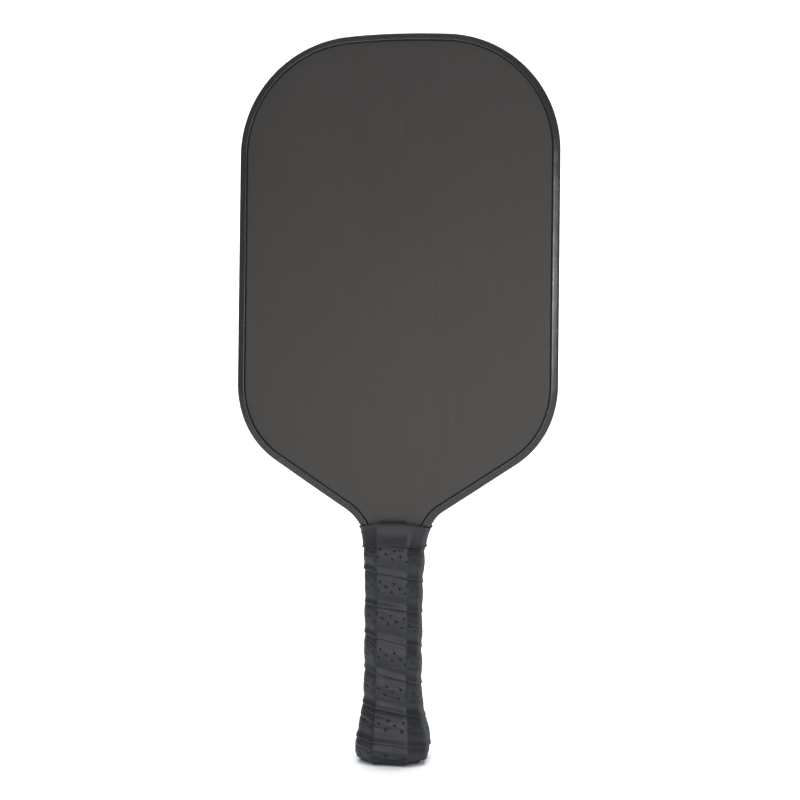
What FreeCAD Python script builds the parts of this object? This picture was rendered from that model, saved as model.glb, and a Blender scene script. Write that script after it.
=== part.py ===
import FreeCAD, Part
import math
import os

# A pickleball paddle, in millimetres.
# X is across the blade, Y is through its thickness with the front at -Y, and Z runs up from
# the butt to the top of the blade. The origin is the middle of the butt's flat end.

# --- overall size and blade outline, measured at the edge guard's outer edge ---
LENGTH = 419.0              # 16.5 in, butt to top
BLADE_HALF = 92.7           # half the blade's width
CROWN_RADIUS = 377.0        # the slightly bowed top edge
TOP_CORNER_RADIUS = 68.7
LOW_CORNER_RADIUS = 53.1
LOW_CORNER_Z = 216.0        # where the straight side ends and the lower corner begins
SHOULDER_TURN = math.radians(56.0)   # the shoulder's angle from vertical
THROAT_HALF = 16.6          # half width where the throat meets the handle
THROAT_RADIUS = 25.0

# --- the sandwich panel, from the middle outwards ---
CARBON = 0.25               # outer raw carbon ply
GLASS = 0.20                # glass ply under it
SCRIM = 0.15                # bonded scrim on the honeycomb
PANEL_HALF = 8.0            # half the finished panel's thickness
CORE_HALF = PANEL_HALF - CARBON - GLASS - SCRIM
CELL = 8.0                  # honeycomb cell, across flats
CELL_WALL = 0.36

# --- edge guard, a U channel glued round the blade ---
GUARD_WEB = 1.8             # wall outside the panel's edge
GUARD_LIP = 1.1             # thickness of the lip on each face
GUARD_REACH = 5.0           # from the outer edge to the lip's inner edge
GUARD_CROWN_FILLET = 2.2
GUARD_LIP_FILLET = 0.55
GUARD_END_Z = 125.5         # its two ends, under the collar
GUARD_TAPE = 0.20
GUARD_TAPE_HALF = 7.0       # half the tape's width
PANEL_INSET = GUARD_WEB + GUARD_TAPE

# --- handle: the panel's tongue with a pallet on each side, an octagon in section ---
HANDLE_HALF_W = THROAT_HALF - PANEL_INSET
HANDLE_HALF_D = 12.5
FRONT_FACET_HALF = 8.4
SIDE_FACET_HALF = PANEL_HALF
HANDLE_BOTTOM_Z = 3.5
NECK_Z = 124.5              # above this the pallets narrow to clear the guard's ends
NECK_HALF = 11.4
NOSE_Z = 137.9              # the pallets' flat-topped tab that shows above the collar
NOSE_HALF = 7.8
NOSE_SHOULDER_Z = 135.4
NOSE_CORNER = 1.6

# --- butt cap and grip: (height, growth over the bare handle) ---
CAP_PROFILE = [(0, 1.4), (1, 2.5), (4, 3.6), (8, 4.3), (13, 4.2), (18, 3.2), (23, 2.2), (28, 1.3), (34, 0.4)]
GRIP_THICK = 1.8
GRIP_BOTTOM = [(0.6, 3.8), (2, 4.8), (4, 5.5)]   # its turned-in lower edge
GRIP_FLARE_Z = 4.0          # above this it follows the cap
GRIP_TOP_Z = 125.0
GRIP_STRAIGHT_Z = 38.0

# --- staples that hold the butt cap ---
STAPLE_Z = 15.0
STAPLE_CROWN = 9.0
STAPLE_WIRE = 0.8
STAPLE_OUT_Y = 15.8         # the crown's outer face, sunk in the cap
STAPLE_IN_Y = 9.2           # the legs' points, in the pallet

# --- collar, a stretched rubber band, and the finishing tape under it ---
# (height, inner half width, inner half depth)
COLLAR_PROFILE = [
    (119.0, 16.90, 14.60),
    (125.2, 17.05, 14.60),
    (128.0, 17.50, 13.60),
    (131.0, 18.30, 12.95),
    (134.0, 19.45, 12.85),
    (138.0, 22.00, 12.85),
]
COLLAR_FRONT_HALF = 9.4
COLLAR_SIDE_HALF = 9.7
COLLAR_WALL = 0.8
COLLAR_LIP = 1.3            # wall at the raised lip along each edge
COLLAR_LIP_HEIGHT = 1.0
COLLAR_Z = (124.1, 136.9)   # its two edges at the middle of the front
COLLAR_ARCH = 85.0          # the edges bow down towards the sides on this radius
FINISH_TAPE = 0.20
FINISH_TAPE_Z = (124.2, 131.5)

FAR = 500.0                 # reach of a cutting block, beyond every part


def arc(centre_x, centre_z, radius, start, end):
    """Arc in the XZ plane; angles are measured from +X towards +Z."""
    points = [
        FreeCAD.Vector(centre_x + radius * math.cos(t), 0, centre_z + radius * math.sin(t))
        for t in (start, (start + end) / 2, end)
    ]
    return Part.Arc(*points).toShape()


def line(x0, z0, x1, z1):
    return Part.LineSegment(FreeCAD.Vector(x0, 0, z0), FreeCAD.Vector(x1, 0, z1)).toShape()


def mirrored(edge):
    return edge.mirror(FreeCAD.Vector(0, 0, 0), FreeCAD.Vector(1, 0, 0))


def blade_face(inset, bottom=0.0):
    """Face in the XZ plane inside the blade's outline drawn in by inset, cut off at bottom.

    The outline is a crown arc, two top corners, straight sides, two lower corners, straight
    shoulders, and two throat arcs that run into the handle. Each joins the next tangentially.
    """
    quarter = math.pi / 2
    corner_x = BLADE_HALF - TOP_CORNER_RADIUS
    crown_z = LENGTH - CROWN_RADIUS
    corner_z = crown_z + math.sqrt((CROWN_RADIUS - TOP_CORNER_RADIUS) ** 2 - corner_x ** 2)
    crown_turn = math.atan2(corner_x, corner_z - crown_z)
    low_x = BLADE_HALF - LOW_CORNER_RADIUS
    throat_x = THROAT_HALF + THROAT_RADIUS
    cos_turn, sin_turn = math.cos(SHOULDER_TURN), math.sin(SHOULDER_TURN)
    shoulder_run = (low_x + LOW_CORNER_RADIUS * cos_turn) - (throat_x - THROAT_RADIUS * cos_turn)
    shoulder_drop = shoulder_run * cos_turn / sin_turn
    throat_z = LOW_CORNER_Z - (LOW_CORNER_RADIUS + THROAT_RADIUS) * sin_turn - shoulder_drop

    half = BLADE_HALF - inset
    low_r = LOW_CORNER_RADIUS - inset
    throat_r = THROAT_RADIUS + inset
    handle = THROAT_HALF - inset
    crown = arc(0, crown_z, CROWN_RADIUS - inset, quarter - crown_turn, quarter + crown_turn)
    side = [
        arc(corner_x, corner_z, TOP_CORNER_RADIUS - inset, quarter - crown_turn, 0),
        line(half, corner_z, half, LOW_CORNER_Z),
        arc(low_x, LOW_CORNER_Z, low_r, 0, -SHOULDER_TURN),
        line(low_x + low_r * cos_turn, LOW_CORNER_Z - low_r * sin_turn,
             throat_x - throat_r * cos_turn, throat_z + throat_r * sin_turn),
        arc(throat_x, throat_z, throat_r, math.pi - SHOULDER_TURN, math.pi),
        line(handle, throat_z, handle, bottom),
    ]
    edges = [crown] + side + [mirrored(e) for e in side] + [line(-handle, bottom, handle, bottom)]
    return Part.Face(Part.Wire(Part.sortEdges(edges)[0]))


def slab(face, y0, y1):
    """The face, which lies at y = 0, made into a plate between y0 and y1."""
    moved = face.copy()
    moved.translate(FreeCAD.Vector(0, y0, 0))
    return moved.extrude(FreeCAD.Vector(0, y1 - y0, 0))


def block(x0=-FAR, x1=FAR, y0=-FAR, y1=FAR, z0=-FAR, z1=FAR):
    return Part.makeBox(x1 - x0, y1 - y0, z1 - z0, FreeCAD.Vector(x0, y0, z0))


def block_outside(side, near, z0, z1, **limits):
    """Block from y = near outwards on one side, side being -1 for the front and 1 for the back."""
    low, high = sorted((side * near, side * FAR))
    return block(y0=low, y1=high, z0=z0, z1=z1, **limits)


def disc(radius, top):
    """Cylinder through the whole thickness whose highest point is at top, on the middle line."""
    return Part.makeCylinder(radius, 2 * FAR, FreeCAD.Vector(0, -FAR, top - radius),
                             FreeCAD.Vector(0, 1, 0))


def octagon_wire(z, half_w, half_d, front_half, side_half):
    """Closed octagon at height z, symmetric about both axes."""
    quarter = [(half_w, side_half), (front_half, half_d)]
    ring = quarter + [(-x, y) for x, y in reversed(quarter)]
    ring += [(-x, -y) for x, y in ring]
    points = [FreeCAD.Vector(x, y, z) for x, y in ring]
    return Part.makePolygon(points + points[:1])


def handle_wire(z, grow):
    """The bare handle's octagon at height z, every facet moved out by grow."""
    slope = math.atan2(HANDLE_HALF_D - SIDE_FACET_HALF, HANDLE_HALF_W - FRONT_FACET_HALF)
    return octagon_wire(
        z,
        HANDLE_HALF_W + grow,
        HANDLE_HALF_D + grow,
        FRONT_FACET_HALF + grow * math.tan(slope / 2),
        SIDE_FACET_HALF + grow * math.tan((math.pi / 2 - slope) / 2),
    )


def handle_prism(z0=0.0, z1=LENGTH, grow=0.0):
    return Part.Face(handle_wire(z0, grow)).extrude(FreeCAD.Vector(0, 0, z1 - z0))


def collar_loft(grow):
    """Solid inside the collar's inner wall, every facet moved out by grow."""
    wires = [
        octagon_wire(z, half_w + grow, half_d + grow,
                     COLLAR_FRONT_HALF + grow / 3, COLLAR_SIDE_HALF + grow / 2)
        for z, half_w, half_d in COLLAR_PROFILE
    ]
    return Part.makeLoft(wires, True, True)


def arched_slice(low, high):
    """The space between two bowed surfaces at these heights in the middle."""
    return disc(COLLAR_ARCH, high).cut(disc(COLLAR_ARCH, low))


def edges_at(shape, y):
    """The edges that lie in the plane at this y."""
    tight = 1e-4
    return [
        e for e in shape.Edges
        if abs(e.BoundBox.YMin - y) < tight and abs(e.BoundBox.YMax - y) < tight
    ]


def is_inside(face, edge):
    """Whether the edge's middle lies inside the outline of a face in the XZ plane."""
    middle = edge.valueAt((edge.FirstParameter + edge.LastParameter) / 2)
    middle.y = 0
    return face.isInside(middle, 1e-3, True)


def make_core():
    """Honeycomb: a slab of thin-walled hexagonal cells cut to the panel's outline.

    Cells that cross the outline are open at the edge, as they are on a board cut from sheet.
    """
    face = blade_face(PANEL_INSET, HANDLE_BOTTOM_Z)
    outer = face.OuterWire
    reach = (CELL - CELL_WALL) / math.sqrt(3)
    row_step = CELL * math.sqrt(3) / 2
    whole, cut = [], []
    rows = int(LENGTH / row_step) + 2
    columns = int(BLADE_HALF / CELL) + 2
    for row in range(rows):
        for column in range(-columns, columns + 1):
            x = (column + (row % 2) / 2) * CELL
            z = row * row_step
            points = [
                FreeCAD.Vector(x + reach * math.sin(k * math.pi / 3), 0,
                               z + reach * math.cos(k * math.pi / 3))
                for k in range(6)
            ]
            inside = [face.isInside(p, 1e-4, True) for p in points]
            wire = Part.makePolygon(points + points[:1])
            crosses = wire.distToShape(outer)[0] < CELL_WALL / 2
            if all(inside) and not crosses:
                whole.append(wire)
            elif any(inside) or crosses:
                cut.append(Part.Face(wire))
    trimmed = face.cut(Part.makeCompound(cut))
    body = max(trimmed.Faces, key=lambda f: f.Area)
    return slab(Part.Face([body.OuterWire] + whole), -CORE_HALF, CORE_HALF)


def make_layers():
    """The sheets on each side of the core, from the scrim out to the carbon."""
    face = blade_face(PANEL_INSET, HANDLE_BOTTOM_Z)
    layers = {}
    y = CORE_HALF
    for name, thick in (("scrim", SCRIM), ("glass_ply", GLASS), ("carbon_face", CARBON)):
        layers["front_" + name] = slab(face, -y - thick, -y)
        layers["back_" + name] = slab(face, y, y + thick)
        y += thick
    return layers


def make_edge_guard():
    """U channel: a rounded rim with a lip on each face, open towards the panel."""
    half = PANEL_HALF + GUARD_LIP
    rim = slab(blade_face(0), -half, half)
    rim = rim.makeFillet(GUARD_CROWN_FILLET, edges_at(rim, -half) + edges_at(rim, half))
    rim = rim.cut(slab(blade_face(GUARD_REACH, -1), -FAR, FAR)).cut(block(z1=GUARD_END_Z))
    window = blade_face(GUARD_REACH - GUARD_LIP_FILLET)
    lips = [
        e for e in edges_at(rim, -half) + edges_at(rim, half)
        if is_inside(window, e) and e.BoundBox.ZMax > GUARD_END_Z + GUARD_LIP_FILLET
    ]
    rim = rim.makeFillet(GUARD_LIP_FILLET, lips)
    return rim.cut(slab(blade_face(GUARD_WEB), -PANEL_HALF, PANEL_HALF))


def make_guard_tape():
    """Double-sided tape between the guard's web and the panel's edge."""
    ring = blade_face(GUARD_WEB).cut(blade_face(PANEL_INSET))
    return slab(ring, -GUARD_TAPE_HALF, GUARD_TAPE_HALF).cut(block(z1=GUARD_END_Z))


def make_pallet():
    """Front half of the octagonal handle: a bar glued on the tongue, ending in a narrower tab."""
    bar = handle_prism(HANDLE_BOTTOM_Z).common(block(y1=-PANEL_HALF))
    bar = bar.cut(block(x0=NECK_HALF, z0=NECK_Z)).cut(block(x1=-NECK_HALF, z0=NECK_Z))
    tab = block(-NOSE_HALF, NOSE_HALF, z1=NOSE_Z)
    corners = [
        e for e in tab.Edges
        if e.BoundBox.YLength > FAR and e.BoundBox.ZMin > NECK_Z
    ]
    tab = tab.makeFillet(NOSE_CORNER, corners)
    return bar.common(tab.fuse(block(z1=NOSE_SHOULDER_Z)))


def make_staples():
    """Two staples, front and back, whose legs run through the cap into the pallets."""
    half = STAPLE_CROWN / 2
    height = {"z0": STAPLE_Z - STAPLE_WIRE / 2, "z1": STAPLE_Z + STAPLE_WIRE / 2}
    staples = []
    for side in (-1, 1):
        out, crown_in, leg_in = (side * y for y in (STAPLE_OUT_Y, STAPLE_OUT_Y - STAPLE_WIRE, STAPLE_IN_Y))
        crown = block(-half, half, min(out, crown_in), max(out, crown_in), **height)
        legs = [
            block(x, x + STAPLE_WIRE, min(out, leg_in), max(out, leg_in), **height)
            for x in (-half, half - STAPLE_WIRE)
        ]
        staples.append(crown.multiFuse(legs).removeSplitter())
    return Part.makeCompound(staples)


def make_cap_body():
    """The butt cap's outside, filled."""
    return Part.makeLoft([handle_wire(z, grow) for z, grow in CAP_PROFILE], True, False)


def make_butt_cap(body, staples):
    """Flared cap with a socket for the handle's end and a sunk seat for each staple's crown."""
    cap = body.cut(handle_prism(HANDLE_BOTTOM_Z))
    half_x, half_z = STAPLE_CROWN / 2, STAPLE_WIRE / 2
    for side in (-1, 1):
        cap = cap.cut(block_outside(side, STAPLE_OUT_Y - STAPLE_WIRE, STAPLE_Z - half_z,
                                    STAPLE_Z + half_z, x0=-half_x, x1=half_x))
    return cap.cut(staples)


def make_grip(cap_body):
    """The wound grip as one sleeve, from the butt's edge to the collar."""
    flare = GRIP_BOTTOM + [(z, grow + GRIP_THICK) for z, grow in CAP_PROFILE if z > GRIP_FLARE_Z]
    flare.append((GRIP_STRAIGHT_Z, GRIP_THICK))
    skirt = Part.makeLoft([handle_wire(z, grow) for z, grow in flare], True, False)
    outside = skirt.fuse(handle_prism(GRIP_STRAIGHT_Z, GRIP_TOP_Z, GRIP_THICK))
    panel = slab(blade_face(PANEL_INSET), -PANEL_HALF, PANEL_HALF)
    return outside.cut(handle_prism()).cut(cap_body).cut(panel)


def make_collar():
    """Rubber band with a raised lip along each edge."""
    low, high = COLLAR_Z
    wall = collar_loft(COLLAR_WALL).common(arched_slice(low, high))
    lips = [
        collar_loft(COLLAR_LIP).common(arched_slice(z, z + COLLAR_LIP_HEIGHT))
        for z in (low, high - COLLAR_LIP_HEIGHT)
    ]
    return wall.multiFuse(lips).cut(collar_loft(0)).removeSplitter()


def make_finishing_tape():
    """Tape round the grip's top end, between it and the collar."""
    low, high = FINISH_TAPE_Z
    tape = collar_loft(0).cut(collar_loft(-FINISH_TAPE))
    return tape.common(block(z0=low, z1=high))


def make_parts():
    staples = make_staples()
    cap_body = make_cap_body()
    pallet = make_pallet()
    back_pallet = pallet.mirror(FreeCAD.Vector(0, 0, 0), FreeCAD.Vector(0, 1, 0))
    parts = {
        "honeycomb_core": make_core(),
        "edge_guard": make_edge_guard(),
        "edge_guard_tape": make_guard_tape(),
        "handle_pallet_front": pallet.cut(staples),
        "handle_pallet_back": back_pallet.cut(staples),
        "butt_cap": make_butt_cap(cap_body, staples),
        "butt_cap_staples": staples,
        "grip_tape": make_grip(cap_body),
        "finishing_tape": make_finishing_tape(),
        "collar": make_collar(),
    }
    parts.update(make_layers())
    return parts


def main():
    os.makedirs("parts", exist_ok=True)
    for name, shape in make_parts().items():
        solids = Part.makeCompound(shape.Solids)
        solids.exportStep("parts/" + name + ".step")
        print(name, len(shape.Solids), "solid", round(shape.Volume / 1000, 3), "cm3")


main()
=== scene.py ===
import math

import bmesh
import bpy
import numpy as np
from mathutils import Matrix, Vector


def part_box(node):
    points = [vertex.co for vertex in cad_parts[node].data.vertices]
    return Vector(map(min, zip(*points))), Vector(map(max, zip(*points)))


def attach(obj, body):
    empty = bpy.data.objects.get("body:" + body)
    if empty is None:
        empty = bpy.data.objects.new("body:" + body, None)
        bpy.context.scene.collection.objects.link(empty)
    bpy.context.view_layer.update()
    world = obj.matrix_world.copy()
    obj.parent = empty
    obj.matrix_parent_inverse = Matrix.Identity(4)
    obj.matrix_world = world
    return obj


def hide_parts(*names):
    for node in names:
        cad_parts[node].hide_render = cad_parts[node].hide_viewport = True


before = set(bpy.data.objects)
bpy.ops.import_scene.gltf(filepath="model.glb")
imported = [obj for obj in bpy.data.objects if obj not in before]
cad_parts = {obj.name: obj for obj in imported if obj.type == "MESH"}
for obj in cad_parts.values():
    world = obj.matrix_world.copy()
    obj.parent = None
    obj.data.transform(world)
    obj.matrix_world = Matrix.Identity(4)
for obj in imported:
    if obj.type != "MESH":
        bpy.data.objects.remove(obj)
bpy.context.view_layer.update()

# A pickleball paddle, standing upright on its butt: X across the blade, the front face
# towards -Y, Z up. Lengths below are millimetres until a mesh is made.

MM = 0.001


def heights(node):
    """A CAD node's lowest and highest height in millimetres."""
    low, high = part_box(node)
    return low[2] / MM, high[2] / MM


GUARD_BOTTOM = heights("edge_guard")[0]
GRIP_BOTTOM, GRIP_TOP = heights("grip_tape")

# --- the blade's outline, at the edge guard's outer edge ---
LENGTH = 419.0
BLADE_HALF = 92.7
CROWN_RADIUS = 377.0
TOP_CORNER_RADIUS = 68.7
LOW_CORNER_RADIUS = 53.1
LOW_CORNER_Z = 216.0
SHOULDER_TURN = math.radians(56.0)
THROAT_HALF = 16.6
THROAT_RADIUS = 25.0

# --- edge guard section ---
PANEL_HALF = 8.0
GUARD_REACH = 5.0
GUARD_WEB = 1.8
# the lip's foot inside these bounds is coloured with painted shade
FOOT_START = 4.2                     # in from the outer edge, where the lip's dull foot starts
FOOT_TOP = 8.85                      # and how far from the paddle's middle plane it reaches
# (height, turns along the strip, phase) of the waves left by bending it on
EDGE_WAVES = ((0.05, 61, 0.7), (0.04, 143, 2.1))
LIFT_WAVES = ((0.03, 97, 0.0), (0.03, 211, 1.3))

# --- how the neck leans to the right and the strip stands off, at a height ---
NECK_LEAN = 0.85
NECK_SPREAD = 0.6 / 19.0             # more lean towards the right, less towards the left
NECK_Z = (127.0, 168.0)
RIGHT_SLACK = 0.55
SHOULDER_SLACK = 0.6
SHOULDER_Z = 176.0
SHOULDER_REACH = 36.0

# --- handle section, an octagon ---
HANDLE_HALF_W = 14.6
HANDLE_HALF_D = 12.5
FRONT_FACET_HALF = 8.4
SIDE_FACET_HALF = 8.0
FACET_TURN = math.atan2(HANDLE_HALF_D - SIDE_FACET_HALF, HANDLE_HALF_W - FRONT_FACET_HALF)


# ---------------------------------------------------------------- mesh helpers

def add_mesh(name, verts, faces, material):
    """A smooth-shaded object from vertices in millimetres."""
    mesh = bpy.data.meshes.new(name)
    mesh.from_pydata([tuple(v) for v in np.asarray(verts) * MM], [], [tuple(f) for f in faces])
    mesh.update()
    mesh.materials.append(material)
    mesh.shade_smooth()
    piece = bpy.data.objects.new(name, mesh)
    bpy.context.scene.collection.objects.link(piece)
    return piece


def grid_faces(rows, columns, wrap_rows=False, wrap_columns=False, start=0):
    """Quads over a grid of vertices stored row by row."""
    faces = []
    for r in range(rows if wrap_rows else rows - 1):
        r2 = (r + 1) % rows
        for c in range(columns if wrap_columns else columns - 1):
            c2 = (c + 1) % columns
            faces.append((start + r * columns + c, start + r * columns + c2,
                          start + r2 * columns + c2, start + r2 * columns + c))
    return faces


def smoothstep(low, high, x):
    """0 below low, 1 above high, and a smooth rise between them."""
    t = np.clip((x - low) / (high - low), 0, 1)
    return t * t * (3 - 2 * t)


def bump_at(x, centre, half_width):
    """A smooth bump of height 1 and the given half width."""
    t = np.clip(np.abs(x - centre) / half_width, 0, 1)
    return (1 - t * t) ** 2


# ---------------------------------------------------------------- shader helpers

def new_material(name):
    """A material with a Principled shader, and a function that adds nodes to it."""
    material = bpy.data.materials.new(name)
    material.use_nodes = True
    tree = material.node_tree
    shader = tree.nodes["Principled BSDF"]

    def node(kind, inputs=None, **settings):
        made = tree.nodes.new(kind)
        for key, value in settings.items():
            setattr(made, key, value)
        for key, value in (inputs or {}).items():
            if isinstance(value, bpy.types.NodeSocket):
                tree.links.new(value, made.inputs[key])
            else:
                made.inputs[key].default_value = value
        return made

    def link(value, socket):
        tree.links.new(value, shader.inputs[socket])

    return material, shader, node, link


def ramp(node, fac, stops):
    """Colour ramp over (position, grey or colour) stops."""
    made = node("ShaderNodeValToRGB", {"Fac": fac})
    elements = made.color_ramp.elements
    while len(elements) < len(stops):
        elements.new(0.5)
    for element, (place, value) in zip(elements, stops):
        element.position = place
        colour = value if isinstance(value, tuple) else (value, value, value)
        element.color = (*colour, 1)
    return made.outputs["Color"]


def stretched(node, scale):
    """Object coordinates scaled by (x, y, z)."""
    coords = node("ShaderNodeTexCoord").outputs["Object"]
    return node("ShaderNodeMapping", {"Vector": coords, "Scale": scale}).outputs["Vector"]


def unscaled(node):
    return stretched(node, (1, 1, 1))


def noise(node, vector, scale, detail=4.0, roughness=0.5):
    """A noise texture's value, mostly 0.3 to 0.7."""
    return node("ShaderNodeTexNoise", {"Vector": vector, "Scale": scale, "Detail": detail,
                                       "Roughness": roughness}).outputs["Fac"]


def maths(node, operation, a, b=0.5):
    """A Math node; ABSOLUTE reads only its first value."""
    return node("ShaderNodeMath", {0: a, 1: b}, operation=operation).outputs["Value"]


def side_roughness(node, faces, sides):
    """Roughness of the front and back, changing to the sides' on surfaces that face sideways."""
    normal = node("ShaderNodeTexCoord").outputs["Normal"]
    depth = node("ShaderNodeSeparateXYZ", {"Vector": normal}).outputs["Y"]
    facing = ramp(node, maths(node, "ABSOLUTE", depth), [(0.15, 0.0), (0.60, 1.0)])
    change = maths(node, "SUBTRACT", faces, sides)
    return maths(node, "ADD", maths(node, "MULTIPLY", facing, change), sides)


def bump(node, height, strength, distance):
    """A bumped normal; distance is in metres."""
    return node("ShaderNodeBump", {"Height": height, "Strength": strength,
                                   "Distance": distance}).outputs["Normal"]


# ---------------------------------------------------------------- materials

def carbon_material():
    """Raw carbon: near black and matt, a fine peel-ply grain, faint lengthwise fibre streaks."""
    material, shader, node, link = new_material("raw_carbon")
    fibres = noise(node, stretched(node, (900, 900, 18)), 1.0, 3.0)
    broad = noise(node, stretched(node, (14, 14, 5)), 1.0, 2.0)
    colour = ramp(node, maths(node, "ADD", maths(node, "MULTIPLY", fibres, 0.5),
                              maths(node, "MULTIPLY", broad, 0.5)),
                  [(0.3, (0.0220, 0.0192, 0.0174)), (0.7, (0.0300, 0.0265, 0.0243))])
    link(colour, "Base Color")
    weave = maths(node, "MULTIPLY", ribs(node, "X"), ribs(node, "Z"))
    grit = noise(node, unscaled(node), 2600.0, 2.0)
    relief = maths(node, "ADD", maths(node, "MULTIPLY", weave, 0.6), grit)
    link(bump(node, relief, 0.25, 0.00006), "Normal")
    link(ramp(node, broad, [(0.3, 0.42), (0.7, 0.48)]), "Roughness")
    shader.inputs["Specular IOR Level"].default_value = 0.36
    return material


def ribs(node, direction):
    """The peel ply's fine ribs across one direction."""
    return node("ShaderNodeTexWave", {"Vector": unscaled(node), "Scale": 420.0, "Distortion": 0.6,
                                      "Detail": 1.0}, bands_direction=direction).outputs["Fac"]


def guard_material():
    """Glossy extruded plastic with a faint ripple and handling haze."""
    material, shader, node, link = new_material("guard_plastic")
    haze = noise(node, unscaled(node), 60.0, 5.0, 0.6)
    dark, light = (0.010, 0.0115, 0.0125), (0.015, 0.0165, 0.018)
    link(ramp(node, haze, [(0.3, dark), (0.7, light)]), "Base Color")
    link(side_roughness(node, ramp(node, haze, [(0.3, 0.20), (0.75, 0.30)]), 0.95), "Roughness")
    ripple = noise(node, unscaled(node), 170.0, 2.0)
    link(bump(node, ripple, 0.05, 0.0004), "Normal")
    shader.inputs["Specular IOR Level"].default_value = 0.5
    return material


def lip_foot_material():
    """The dull foot of the guard's lip, where it meets the face; its dark colour is painted shade along
    that junction.
    """
    material, shader, node, link = new_material("guard_lip_foot_painted_shade")
    # base colour kept near black as painted shade for the dark line where the lip meets the face; the noise
    # only mottles it
    dust = noise(node, unscaled(node), 300.0, 3.0)
    link(ramp(node, dust, [(0.3, 0.009), (0.7, 0.014)]), "Base Color")
    shader.inputs["Roughness"].default_value = 0.9
    shader.inputs["Specular IOR Level"].default_value = 0.15
    return material


def rubber_material():
    """Satin elastic rubber with a slight bloom."""
    material, shader, node, link = new_material("collar_rubber")
    bloom = noise(node, stretched(node, (1, 1, 0.6)), 120.0, 4.0, 0.6)
    dark, light = (0.012, 0.013, 0.016), (0.019, 0.0205, 0.024)
    link(ramp(node, bloom, [(0.3, dark), (0.75, light)]), "Base Color")
    link(side_roughness(node, ramp(node, bloom, [(0.3, 0.36), (0.75, 0.46)]), 0.85), "Roughness")
    shader.inputs["Specular IOR Level"].default_value = 0.30
    grain = noise(node, unscaled(node), 1800.0, 2.0)
    link(bump(node, grain, 0.2, 0.00008), "Normal")
    return material


def grip_material():
    """Cushioned synthetic leather: fine pebble grain, satin, unevenly worn."""
    material, shader, node, link = new_material("grip_leather")
    wear = noise(node, unscaled(node), 45.0, 4.0, 0.6)
    dark, light = (0.0070, 0.0086, 0.0122), (0.0110, 0.0130, 0.0175)
    link(ramp(node, wear, [(0.3, dark), (0.7, light)]), "Base Color")
    link(side_roughness(node, ramp(node, wear, [(0.3, 0.34), (0.7, 0.44)]), 0.85), "Roughness")
    shader.inputs["Specular IOR Level"].default_value = 0.34
    pebble = node("ShaderNodeTexVoronoi", {"Vector": unscaled(node), "Scale": 1500.0},
                  feature="SMOOTH_F1").outputs["Distance"]
    fine = noise(node, unscaled(node), 3200.0, 2.0)
    relief = maths(node, "ADD", pebble, maths(node, "MULTIPLY", fine, 0.4))
    link(bump(node, relief, 0.22, 0.00007), "Normal")
    return material


def grained_material(name, dark, light, rough, scale=400.0, depth=0.0001, metallic=0.0):
    """Plain moulded, fibrous or metal surface: mottled between two colours, with a fine grain."""
    material, shader, node, link = new_material(name)
    mottle = noise(node, unscaled(node), scale / 4, 4.0, 0.6)
    link(ramp(node, mottle, [(0.3, dark), (0.7, light)]), "Base Color")
    link(ramp(node, mottle, [(0.3, rough), (0.7, min(1.0, rough + 0.12))]), "Roughness")
    link(bump(node, noise(node, unscaled(node), scale, 3.0), 0.3, depth), "Normal")
    shader.inputs["Metallic"].default_value = metallic
    return material


# ---------------------------------------------------------------- the blade's outline

def outline_points(step):
    """Points and outward normals along the guard's outer edge, from its right end round to its left."""
    corner_x = BLADE_HALF - TOP_CORNER_RADIUS
    crown_z = LENGTH - CROWN_RADIUS
    corner_z = crown_z + math.sqrt((CROWN_RADIUS - TOP_CORNER_RADIUS) ** 2 - corner_x ** 2)
    crown_turn = math.atan2(corner_x, corner_z - crown_z)
    low_x = BLADE_HALF - LOW_CORNER_RADIUS
    throat_x = THROAT_HALF + THROAT_RADIUS
    turned = (math.cos(SHOULDER_TURN), math.sin(SHOULDER_TURN))
    run = low_x + LOW_CORNER_RADIUS * turned[0] - throat_x + THROAT_RADIUS * turned[0]
    throat_z = LOW_CORNER_Z - (LOW_CORNER_RADIUS + THROAT_RADIUS) * turned[1] - run * turned[0] / turned[1]

    def arc(cx, cz, radius, start, end, inwards=False):
        count = max(2, int(abs(end - start) * radius / step))
        made = []
        for i in range(count):
            angle = start + (end - start) * i / count
            out = np.array([math.cos(angle), math.sin(angle)])
            made.append((np.array([cx, cz]) + radius * out, -out if inwards else out))
        return made

    def line(start, end, out):
        start, end = np.array(start), np.array(end)
        count = max(2, int(np.linalg.norm(end - start) / step))
        return [(start + (end - start) * i / count, np.array(out)) for i in range(count)]

    low_corner_end = (low_x + LOW_CORNER_RADIUS * turned[0], LOW_CORNER_Z - LOW_CORNER_RADIUS * turned[1])
    throat_top = (throat_x - THROAT_RADIUS * turned[0], throat_z + THROAT_RADIUS * turned[1])
    right = arc(throat_x, throat_z, THROAT_RADIUS, math.pi, math.pi - SHOULDER_TURN, inwards=True)
    right += line(throat_top, low_corner_end, (turned[0], -turned[1]))
    right += arc(low_x, LOW_CORNER_Z, LOW_CORNER_RADIUS, -SHOULDER_TURN, 0)
    right += line((BLADE_HALF, LOW_CORNER_Z), (BLADE_HALF, corner_z), (1, 0))
    right += arc(corner_x, corner_z, TOP_CORNER_RADIUS, 0, math.pi / 2 - crown_turn)
    right += arc(0, crown_z, CROWN_RADIUS, math.pi / 2 - crown_turn, math.pi / 2)
    flip = np.array([-1, 1])
    left = [(point * flip, out * flip) for point, out in reversed(right[1:])]
    top = (np.array([0.0, LENGTH]), np.array([0.0, 1.0]))
    return [(p, n) for p, n in right + [top] + left if p[1] > GUARD_BOTTOM]


def throat_lean(x, z):
    """How far right the neck of the guard, and the collar on it, stand of the drawn outline."""
    return (NECK_LEAN + NECK_SPREAD * x) * (1 - smoothstep(*NECK_Z, z))


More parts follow.
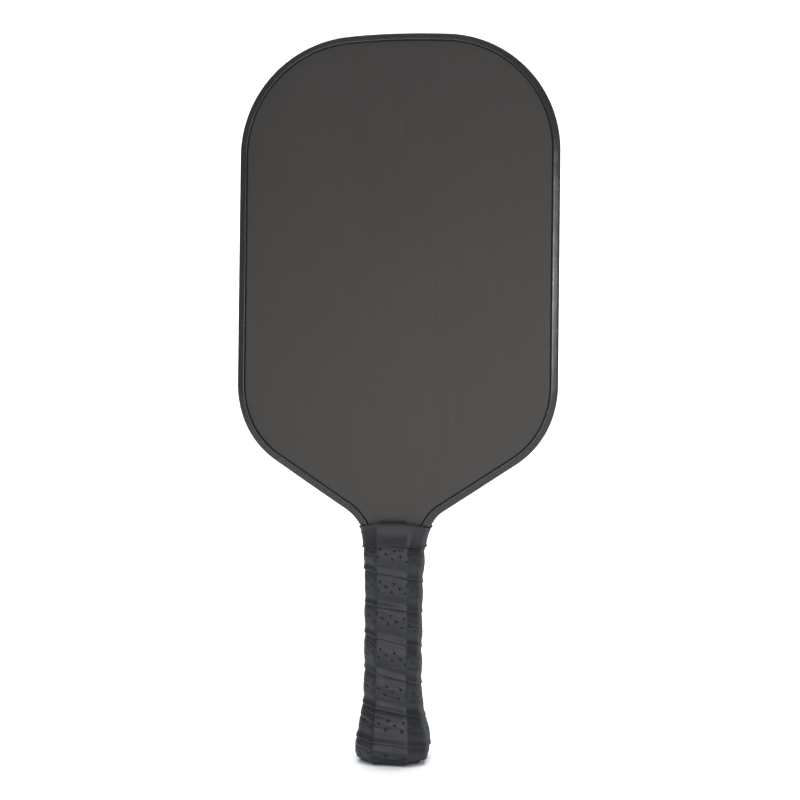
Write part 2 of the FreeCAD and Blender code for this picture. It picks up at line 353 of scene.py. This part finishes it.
def guard_slack(x, z):
    """How far the bent-on strip stands off the panel's edge: on the right side and at the shoulders."""
    right = RIGHT_SLACK * smoothstep(0.0, 60.0, x)
    shoulder = SHOULDER_SLACK * bump_at(z, SHOULDER_Z, SHOULDER_REACH)
    return right + shoulder * smoothstep(14.0, 30.0, abs(x))


# ---------------------------------------------------------------- edge guard

def guard_section():
    """The guard's closed section as (distance in from the outer edge, y), the front lip first.

    Each lip leans back from a rounded crest near its inner edge, which then drops to the face.
    """
    lip = [
        (0.00, 0.0), (0.00, 5.8), (0.03, 6.9), (0.12, 7.55), (0.32, 8.02), (0.60, 8.26), (0.95, 8.38),
        (1.60, 8.55), (2.30, 8.75), (3.00, 8.94), (3.63, 9.105), (3.75, 9.12), (3.87, 9.105),
        (3.985, 9.06), (4.085, 8.99), (4.165, 8.90), (4.214, 8.807), (4.55, 8.22), (4.72, 8.07),
        (4.84, 8.03), (4.70, PANEL_HALF), (3.0, PANEL_HALF), (GUARD_WEB, PANEL_HALF), (GUARD_WEB, 4.0),
    ]
    front = [(inwards, -y) for inwards, y in lip]
    back = [(inwards, y) for inwards, y in reversed(lip[1:])]
    return front + [(GUARD_WEB, 0.0)] + back


def foot_quads(section):
    """Which quads round the section lie on a lip's inner foot."""
    on_foot = [inwards > FOOT_START and abs(y) < FOOT_TOP for inwards, y in section]
    return {i for i in range(len(section)) if on_foot[i] and on_foot[(i + 1) % len(section)]}


def wave_height(waves, along):
    """The waves' sum at a place along the strip, from 0 at one end to 1 at the other."""
    return sum(height * math.sin(turns * along + phase) for height, turns, phase in waves)


def make_guard(material, foot_material):
    """The section swept along the outline, with the slight waviness of a strip bent on by hand."""
    section = guard_section()
    path = outline_points(1.4)
    verts = []
    for index, (point, out) in enumerate(path):
        along = index / len(path)
        wave = wave_height(EDGE_WAVES, along)
        lift = wave_height(LIFT_WAVES, along)
        for inwards, y in section:
            on_lip = min(1.0, max(0.0, (abs(y) - PANEL_HALF) / 0.6))
            edge = on_lip * max(0.0, inwards - GUARD_WEB) / GUARD_REACH
            x, z = point - out * (inwards + wave * edge - guard_slack(*point))
            verts.append((x + throat_lean(x, z), y + math.copysign(lift * on_lip, y), z))
    count = len(section)
    faces = [f[::-1] for f in grid_faces(len(path), count, wrap_columns=True)]
    last = (len(path) - 1) * count
    faces += [tuple(range(count)), tuple(range(last + count - 1, last - 1, -1))]
    piece = add_mesh("edge_guard_strip", verts, faces, material)
    # the lip's inner foot takes the second, matte material, whose dark colour is painted shade along the
    # junction with the face
    piece.data.materials.append(foot_material)
    foot = foot_quads(section)
    for polygon in piece.data.polygons:
        if polygon.index < last and polygon.index % count in foot:
            polygon.material_index = 1
    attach(piece, "root")
    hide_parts("edge_guard")


# ---------------------------------------------------------------- rounded octagons

def octagon_frame(half_w, half_d, front_half, side_half, radius, fraction):
    """Point and outward normal on a rounded octagon, for arrays of sizes and of fraction round it.

    Fraction 0 is the middle of the back, 0.25 the middle of the left side (-X), 0.5 the middle of
    the front and 0.75 the middle of the right side.
    """
    half_w, half_d, front_half, side_half, radius, fraction = np.broadcast_arrays(
        half_w, half_d, front_half, side_half, radius, fraction)
    turn = np.arctan2(half_d - side_half, half_w - front_half)
    cut_a = radius * np.tan(turn / 2)
    cut_b = radius * np.tan((math.pi / 2 - turn) / 2)
    slant = np.hypot(half_w - front_half, half_d - side_half)
    lengths = [front_half - cut_a, radius * turn, slant - cut_a - cut_b,
               radius * (math.pi / 2 - turn), side_half - cut_b]
    total = sum(lengths)
    quarter = np.floor(fraction * 4)
    within = fraction * 4 - quarter
    odd = quarter % 2 == 1
    travelled = np.where(odd, 1 - within, within) * total

    x = np.zeros_like(travelled)
    y = half_d.astype(float).copy()
    angle = np.zeros_like(travelled)
    left = travelled.copy()
    step = np.clip(left, 0, lengths[0])
    x = x + step
    left = left - step
    step = np.clip(left, 0, lengths[1])
    swing = step / radius
    x = x + radius * np.sin(swing)
    y = y - radius * (1 - np.cos(swing))
    angle = angle + swing
    left = left - step
    step = np.clip(left, 0, lengths[2])
    x = x + step * np.cos(turn)
    y = y - step * np.sin(turn)
    left = left - step
    step = np.clip(left, 0, lengths[3])
    swing = step / radius
    x = x + radius * (np.sin(turn + swing) - np.sin(turn))
    y = y - radius * (np.cos(turn) - np.cos(turn + swing))
    angle = angle + swing
    left = left - step
    y = y - np.clip(left, 0, None)
    out_x, out_y = np.sin(angle), np.cos(angle)
    sign_x = np.where((quarter % 4 == 0) | (quarter % 4 == 1), -1, 1)
    sign_y = np.where((quarter % 4 == 0) | (quarter % 4 == 3), 1, -1)
    return x * sign_x, y * sign_y, out_x * sign_x, out_y * sign_y


def handle_surface(fraction, grow, radius):
    """Point and normal on the handle's octagon grown outwards by grow."""
    return octagon_frame(
        HANDLE_HALF_W + grow, HANDLE_HALF_D + grow,
        FRONT_FACET_HALF + grow * math.tan(FACET_TURN / 2),
        SIDE_FACET_HALF + grow * math.tan((math.pi / 2 - FACET_TURN) / 2),
        radius, fraction)


# ---------------------------------------------------------------- grip

GRIP_THICK = 1.8
TAPE_WIDTH = 25.0
TAPE_STEP = 0.28                     # length of one mesh row along the tape
PERIMETER = 105.6                    # round the straight part of the grip
HOLE_PITCH = 7.94
HOLE_DISH = 0.12                     # depth of the dished rim round a hole
HOLE_RADIUS = 0.48
HOLE_DEPTH = 0.9
HOLE_ROWS = (14.8, 12.4, 9.9)        # above the turn's lower edge
HOLE_SHIFT = 3.4                     # each row down starts this much further right
FIRST_TURN = -1
# at the front's middle, for each turn: height of its lower edge, how steeply it climbs to the
# left, and how many hole pitches of tape have been wound by then
LAPS = (-27.5, -8.0, 11.7, 29.7, 48.9, 69.3, 87.9, 106.7, 125.6)
LAP_SLOPES = (0.18, 0.15, 0.11, 0.19, 0.24, 0.21, 0.11, 0.155, 0.18)
HOLE_COUNTS = (-13.4, -0.2, 12.9, 25.75, 39.29, 51.94, 65.19, 78.19, 91.4)
GRIP_ROUND = 4.8
FOLDS = 210
FOLD_SEED = 11
BUTT_RISE = 2.2                      # how much higher the trimmed edge ends at the sides
BUTT_LEAN = 0.6                      # how far right the flare stands of the handle's middle
LOW_ROWS_DROP = 1.1                  # how much lower the rows of holes lie on the lowest turns
# (height, growth over the bare handle): the grip's outer surface
FLARE = ((0.6, 3.7), (1.3, 4.5), (2.4, 5.1), (4.0, 5.6), (6.0, 5.95), (8.5, 6.1), (11.0, 6.0),
         (13.5, 5.65), (16.0, 5.1), (19.0, 4.4), (23.0, 3.65), (28.0, 2.7), (33.0, 1.85),
         (38.0, 1.4), (46.0, 1.3), (101.0, 1.3), (108.0, 1.7), (113.0, 2.1), (118.0, 2.2), (121.0, 2.0),
         (124.0, 1.7), (130.0, 1.6))
# (distance above the turn's lower edge, height): the rolled edge, the band that rides over the
# turn below, the hollow above it, the padded middle, and the fall to the turn above
TAPE_RELIEF = ((0.0, -0.16), (0.12, 0.04), (0.3, 0.26), (0.6, 0.40), (0.95, 0.43), (3.4, -0.03),
               (4.1, -0.06), (7.0, 0.34), (9.5, 0.46), (13.5, 0.44), (16.4, 0.25), (18.0, 0.00),
               (19.0, -0.28), (26.0, -0.36))


def lap_height(turn):
    """Height of the tape's lower edge; turns are counted at the front's middle, upwards."""
    place = np.clip(turn - FIRST_TURN, 0, len(LAPS) - 1.0001)
    index = place.astype(int)
    t = place - index
    laps, slopes = np.array(LAPS), np.array(LAP_SLOPES) * PERIMETER
    rise = laps[index + 1] - laps[index]
    curve_in, curve_out = slopes[index] - rise, rise - slopes[index + 1]
    return laps[index] + rise * t + t * (1 - t) * (curve_in * (1 - t) + curve_out * t)


def grip_grow(z):
    """Growth of the grip over the bare handle at height z, smoothed between the given heights."""
    places, grows = zip(*FLARE)
    spread = 1.2
    samples = [np.interp(z + shift, places, grows) for shift in (-spread, 0.0, spread)]
    return (samples[0] + 2 * samples[1] + samples[2]) / 4


def wrinkles(across, turn):
    """Soft folds that run a little steeper than the tape, stronger towards the butt."""
    rng = np.random.default_rng(FOLD_SEED)
    height = np.zeros_like(across)
    for _ in range(FOLDS):
        centre_t = rng.uniform(FIRST_TURN, FIRST_TURN + len(LAPS) - 1)
        centre_v = rng.uniform(3.0, 18.0)
        reach = rng.uniform(7, 20)
        width = rng.uniform(0.6, 1.7)
        slope = rng.normal(0.03, 0.06)
        low = 1 - smoothstep(1.0, 5.5, centre_t)
        depth = rng.uniform(0.03, 0.12) + 0.14 * low * rng.uniform(0.3, 1.0)
        du = (turn - centre_t) * PERIMETER
        near = np.abs(du) < reach
        dv = across[near] - centre_v - slope * du[near]
        height[near] -= depth * bump_at(du[near], 0, reach) * bump_at(dv, 0, width)
    return height


def unevenness(across, turn):
    """Slow waves in the padding, and in how far each turn's edge stands up."""
    along = turn * PERIMETER
    slow = 0.05 * np.sin(along / 6.1 + 0.3 * across)
    slow = slow + 0.04 * np.sin(along / 3.7 - 0.5 * across + 1.0)
    edge = (0.10 * np.sin(along / 9.3 + 0.7) + 0.08 * np.sin(along / 4.9)) * bump_at(across, 1.0, 3.0)
    return slow * smoothstep(2.0, 6.0, across) + edge


def grip_relief(turn, across):
    """Height of the tape's outer surface, by turn and distance above the turn's lower edge."""
    places, reliefs = zip(*TAPE_RELIEF)
    spread = 0.35
    past_edge = smoothstep(0.4, 1.4, across)
    plain = np.interp(across, places, reliefs)
    below, above = (np.interp(across + shift, places, reliefs) for shift in (-spread, spread))
    relief = plain * (1 - past_edge) + (below + above) / 2 * past_edge
    return relief + wrinkles(across, turn) + unevenness(across, turn) - hole_depth(turn, across)


def hole_depth(turn, across):
    """Depth of the perforations, with a slightly dished rim."""
    depth = np.zeros_like(across)
    wound = np.interp(turn, np.arange(len(LAPS)) + FIRST_TURN, HOLE_COUNTS)
    drop = LOW_ROWS_DROP * (1 - smoothstep(1.6, 2.8, turn))
    for row, height in enumerate(HOLE_ROWS):
        place = wound + row * HOLE_SHIFT / HOLE_PITCH
        distance = np.hypot((place - np.round(place)) * HOLE_PITCH, across - height + drop)
        hole = HOLE_DEPTH * (1 - smoothstep(HOLE_RADIUS * 0.55, HOLE_RADIUS * 1.15, distance))
        dish = HOLE_DISH * (1 - smoothstep(HOLE_RADIUS, HOLE_RADIUS * 2.6, distance))
        depth = np.maximum(np.maximum(depth, hole), dish)
    return depth


def tape_shell(turns, across, height_over):
    """Points over a grid of turns and distances above the lower edge, trimmed at both ends.

    The trimmed lower edge rises a little towards the sides, where the butt is rounded.
    """
    grid_t, grid_v = np.meshgrid(turns, across, indexing="ij")
    fraction = (0.5 - grid_t) % 1.0
    low_x = handle_surface(fraction, grip_grow(4.0), GRIP_ROUND)[0]
    bottom = GRIP_BOTTOM + BUTT_RISE * smoothstep(8.0, 16.0, np.abs(low_x))
    z = np.clip(lap_height(grid_t) + grid_v, bottom, GRIP_TOP)
    x, y, out_x, out_y = handle_surface(fraction, grip_grow(z), GRIP_ROUND)
    over = height_over(grid_t, z - lap_height(grid_t))
    lean = BUTT_LEAN * (1 - smoothstep(5.0, 35.0, z))
    return np.stack([x + out_x * over + lean, y + out_y * over, z], -1)


def tape_outside(turn, across):
    """Relief of the outer side; above the next turn's lower edge it goes in under that turn."""
    under = smoothstep(0.0, 0.5, across - (lap_height(turn + 1) - lap_height(turn)))
    return grip_relief(turn, across) * (1 - under) - 0.75 * under


def tape_inside(turn, across):
    return np.full_like(across, 0.1 - GRIP_THICK)


def tape_columns():
    """Distances above the lower edge, close together where the surface has detail."""
    rolled_edge = {0.0, 0.1, 0.2, 0.35, 0.55, 0.8, 1.1}
    over_turn_below = set(np.arange(1.5, 8.0, 0.6))
    holes = set(np.round(np.arange(8.0, 15.7, 0.21), 3))
    under_turn_above = set(np.arange(16.0, TAPE_WIDTH, 0.9)) | {17.4, 18.2, 18.6, 19.0, 19.4, TAPE_WIDTH}
    return np.array(sorted(rolled_edge | over_turn_below | holes | under_turn_above))


def strip_faces(rows, columns, inner_columns):
    """Outer and inner sides, both edges and both ends of a strip whose inner grid follows its outer one."""
    start = rows * columns
    faces = grid_faces(rows, columns)
    faces += [f[::-1] for f in grid_faces(rows, inner_columns, start=start)]
    for r in range(rows - 1):
        a, b = r * columns, (r + 1) * columns
        c, d = start + r * inner_columns, start + (r + 1) * inner_columns
        faces.append((a, b, d, c))
        faces.append((a + columns - 1, c + inner_columns - 1, d + inner_columns - 1, b + columns - 1))
    for r, flip in ((0, False), (rows - 1, True)):
        ring = [r * columns + c for c in range(columns)]
        ring += [start + r * inner_columns + c for c in reversed(range(inner_columns))]
        faces.append(tuple(reversed(ring)) if flip else tuple(ring))
    return [f[::-1] for f in faces]


def make_grip(material):
    """One strip wound up the handle; each turn's lower edge lies over the turn below."""
    last_turn = FIRST_TURN + len(LAPS) - 1.0
    turns = np.arange(FIRST_TURN + 0.25, last_turn, TAPE_STEP / PERIMETER)
    across = tape_columns()
    inner_across = np.linspace(0.0, TAPE_WIDTH, 7)
    outer = tape_shell(turns, across, tape_outside)
    inner = tape_shell(turns, inner_across, tape_inside)
    verts = np.concatenate([outer.reshape(-1, 3), inner.reshape(-1, 3)])
    faces = strip_faces(len(turns), len(across), len(inner_across))
    piece = add_mesh("grip_wrap", verts, faces, material)
    merge_trimmed(piece.data)
    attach(piece, "root")
    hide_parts("grip_tape")


def merge_trimmed(mesh):
    """Join the points that trimming has brought together."""
    shell = bmesh.new()
    shell.from_mesh(mesh)
    bmesh.ops.remove_doubles(shell, verts=shell.verts, dist=2e-6)
    shell.to_mesh(mesh)
    shell.free()


# ---------------------------------------------------------------- collar

# (height, inner half width, inner half depth)
COLLAR_PROFILE = ((119.0, 16.90, 14.60), (125.2, 17.05, 14.60), (128.0, 17.50, 13.60),
                  (131.0, 18.30, 12.95), (134.0, 19.45, 12.85), (138.0, 22.00, 12.85))
COLLAR_Z = (124.1, 136.9)
COLLAR_ARCH = 85.0
COLLAR_TUCK = 0.3                    # drawn in at the sides of its upper edge
COLLAR_FOOT_LEAN = 0.1
COLLAR_FRONT_HALF = 9.4
COLLAR_SIDE_HALF = 9.7
COLLAR_ROUND = 5.5


def collar_surface(z, fraction, grow):
    """x and y on the collar's inner wall grown outwards by grow, at height z."""
    places, widths, depths = zip(*COLLAR_PROFILE)
    half_w = np.interp(z, places, widths) + grow
    half_d = np.interp(z, places, depths) + grow
    return octagon_frame(half_w, half_d, COLLAR_FRONT_HALF + grow / 3, COLLAR_SIDE_HALF + grow / 2,
                         COLLAR_ROUND, fraction)[:2]


def make_collar(material):
    """Stretched band whose edges bow down towards the sides, with a rolled lip along each edge."""
    # (height as a fraction of the band, outward offset from the inner wall)
    outside = [
        (0.000, 0.30), (0.004, 0.85), (0.012, 1.20), (0.028, 1.36), (0.044, 1.30), (0.058, 1.02),
        (0.072, 0.82), (0.11, 0.76), (0.30, 0.80), (0.50, 0.84), (0.70, 0.84), (0.88, 0.78),
        (0.918, 0.84), (0.934, 1.04), (0.950, 1.28), (0.970, 1.36), (0.986, 1.20), (0.997, 0.85),
        (1.000, 0.30),
    ]
    inside = [(0.99, 0.05), (0.5, 0.05), (0.01, 0.05)]
    profile = np.array(outside + inside)
    count = 240
    fraction = (np.arange(count) + 0.5) / count
    part, offset = (a[None, :] for a in profile.T)
    low, high = COLLAR_Z
    middle = low + (high - low) * part
    x, y = collar_surface(middle, fraction[:, None], offset)
    z = middle - COLLAR_ARCH + np.sqrt(COLLAR_ARCH ** 2 - x ** 2)
    x, y = collar_surface(z, fraction[:, None], offset)
    z = middle - COLLAR_ARCH + np.sqrt(COLLAR_ARCH ** 2 - x ** 2)
    tuck = COLLAR_TUCK * part * np.clip(x / 15.0, -1, 1)
    lean = COLLAR_FOOT_LEAN + (throat_lean(x, z) - COLLAR_FOOT_LEAN) * part
    verts = np.stack([x - tuck + lean, y, z], -1).reshape(-1, 3)
    faces = grid_faces(count, len(profile), wrap_rows=True, wrap_columns=True)
    piece = add_mesh("collar_band", verts, faces, material)
    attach(piece, "root")
    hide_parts("collar")


# ---------------------------------------------------------------- carried-over solids

def dress_cad_nodes(carbon, plastic):
    """Node materials on the solids whose shape is already right."""
    honeycomb = grained_material("honeycomb_plastic", (0.74, 0.75, 0.76), (0.84, 0.85, 0.86), 0.45)
    scrim = grained_material("scrim_fabric", (0.72, 0.72, 0.69), (0.86, 0.86, 0.83), 0.85, 2400.0)
    glass = grained_material("glass_ply_resin", (0.45, 0.50, 0.40), (0.55, 0.60, 0.48), 0.4, 1200.0)
    tape = grained_material("tape_adhesive", (0.66, 0.66, 0.62), (0.76, 0.76, 0.71), 0.6, 900.0)
    pallet = grained_material("pallet_foam", (0.006, 0.006, 0.007), (0.011, 0.011, 0.012), 0.8, 1100.0)
    steel = grained_material("staple_steel", (0.52, 0.52, 0.54), (0.66, 0.66, 0.67), 0.28, 700.0,
                             metallic=1.0)
    cloth = grained_material("finishing_tape_cloth", (0.02, 0.02, 0.02), (0.04, 0.04, 0.04), 0.8, 2600.0)
    given = {
        "honeycomb_core": honeycomb,
        "front_scrim": scrim, "back_scrim": scrim,
        "front_glass_ply": glass, "back_glass_ply": glass,
        "front_carbon_face": carbon, "back_carbon_face": carbon,
        "edge_guard_tape": tape,
        "handle_pallet_front": pallet, "handle_pallet_back": pallet,
        "butt_cap": plastic, "butt_cap_staples": steel,
        "finishing_tape": cloth,
    }
    for name, material in given.items():
        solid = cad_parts[name]
        for slot in solid.material_slots:
            slot.material = material
        if not solid.material_slots:
            solid.data.materials.append(material)


# ---------------------------------------------------------------- stage, light and camera

def world_light(strength):
    """Even white light from all round."""
    world = bpy.data.worlds.new("studio")
    world.use_nodes = True
    world.node_tree.nodes["Background"].inputs["Color"].default_value = (1, 1, 1, 1)
    world.node_tree.nodes["Background"].inputs["Strength"].default_value = strength
    bpy.context.scene.world = world


def make_floor():
    """A pale floor that curves up into a backdrop far behind."""
    half, back, height, bend = 12.0, 2.2, 4.0, 0.8
    curve = [(-half, 0.0), (back - bend, 0.0)]
    curve += [(back - bend + bend * math.sin(a), bend - bend * math.cos(a))
              for a in (math.pi / 2 * i / 12 for i in range(1, 13))]
    curve.append((back, height))
    verts = [(x, y, z) for y, z in curve for x in (-half, half)]
    faces = [(2 * i, 2 * i + 1, 2 * i + 3, 2 * i + 2) for i in range(len(curve) - 1)]
    material, shader, node, link = new_material("backdrop_paper")
    tone = noise(node, unscaled(node), 3.0, 2.0)
    link(ramp(node, tone, [(0.3, 0.93), (0.7, 0.95)]), "Base Color")
    shader.inputs["Roughness"].default_value = 0.9
    shader.inputs["Specular IOR Level"].default_value = 0.1
    floor = add_mesh("floor", np.array(verts) / MM, faces, material)


def soft_light(name, place, aim, size, power, colour=(1, 1, 1)):
    """Rectangular area light; place, aim and size in metres."""
    light = bpy.data.lights.new(name, "AREA")
    light.shape = "RECTANGLE"
    light.size, light.size_y = size
    light.energy = power
    light.color = colour
    lamp = bpy.data.objects.new(name, light)
    lamp.location = place
    lamp.rotation_mode = "QUATERNION"
    lamp.rotation_quaternion = (Vector(aim) - Vector(place)).to_track_quat("-Z", "Y")
    bpy.context.scene.collection.objects.link(lamp)


CAMERA_TURN = math.radians(7.06)     # the camera stands a little to the right of square-on
CAMERA_RISE = math.radians(-0.52)
CAMERA_ROLL = math.radians(0.66)
CAMERA_DISTANCE = 0.700
CAMERA_AIM = (0.0022, 0.0, 0.2074)
FOCAL = 1204.4 / 800                 # focal length over the frame's width


def make_camera():
    """A little below the paddle's middle height, level and square-on but for a few degrees."""
    data = bpy.data.cameras.new("camera")
    data.sensor_width = 36
    data.lens = 36 * FOCAL
    data.clip_start, data.clip_end = 0.01, 50
    camera = bpy.data.objects.new("camera", data)
    bpy.context.scene.collection.objects.link(camera)
    bpy.context.scene.camera = camera
    back = Vector((math.sin(CAMERA_TURN) * math.cos(CAMERA_RISE),
                   -math.cos(CAMERA_TURN) * math.cos(CAMERA_RISE), math.sin(CAMERA_RISE)))
    camera.location = Vector(CAMERA_AIM) + back * CAMERA_DISTANCE
    camera.rotation_mode = "QUATERNION"
    level = (-back).to_track_quat("-Z", "Y")
    camera.rotation_quaternion = level @ Matrix.Rotation(CAMERA_ROLL, 3, "Z").to_quaternion()


def make_lights():
    """Soft overhead and frontal light, with a strip that the right side of the guard mirrors."""
    middle = (0.0, 0.0, 0.22)
    world_light(0.38)
    soft_light("overhead", (0.0, 0.30, 2.6), (0, 0.25, 0), (3.2, 2.4), 72.0, (0.93, 0.97, 1.0))
    soft_light("backdrop_wash", (0.0, 0.9, 2.2), (0, 2.2, 0.6), (3.0, 0.5), 45.0)
    soft_light("key_front", (-0.10, -2.0, 0.20), (0, 0, 0.18), (0.70, 0.24), 6.8, (1.0, 0.94, 0.89))
    soft_light("upper_front", (-0.3, -1.7, 1.5), middle, (1.0, 0.6), 2.0, (0.48, 0.76, 1.0))
    soft_light("strip_right", (0.80, -1.75, 0.47), (0.09, 0, 0.26), (0.42, 0.14), 8.0)
    bpy.context.scene.view_settings.view_transform = "Standard"


def main():
    carbon = carbon_material()
    plastic = grained_material("cap_plastic", (0.016, 0.016, 0.018), (0.026, 0.026, 0.028), 0.38, 900.0)
    dress_cad_nodes(carbon, plastic)
    make_guard(guard_material(), lip_foot_material())
    make_grip(grip_material())
    make_collar(rubber_material())
    make_floor()
    make_lights()
    make_camera()


main()
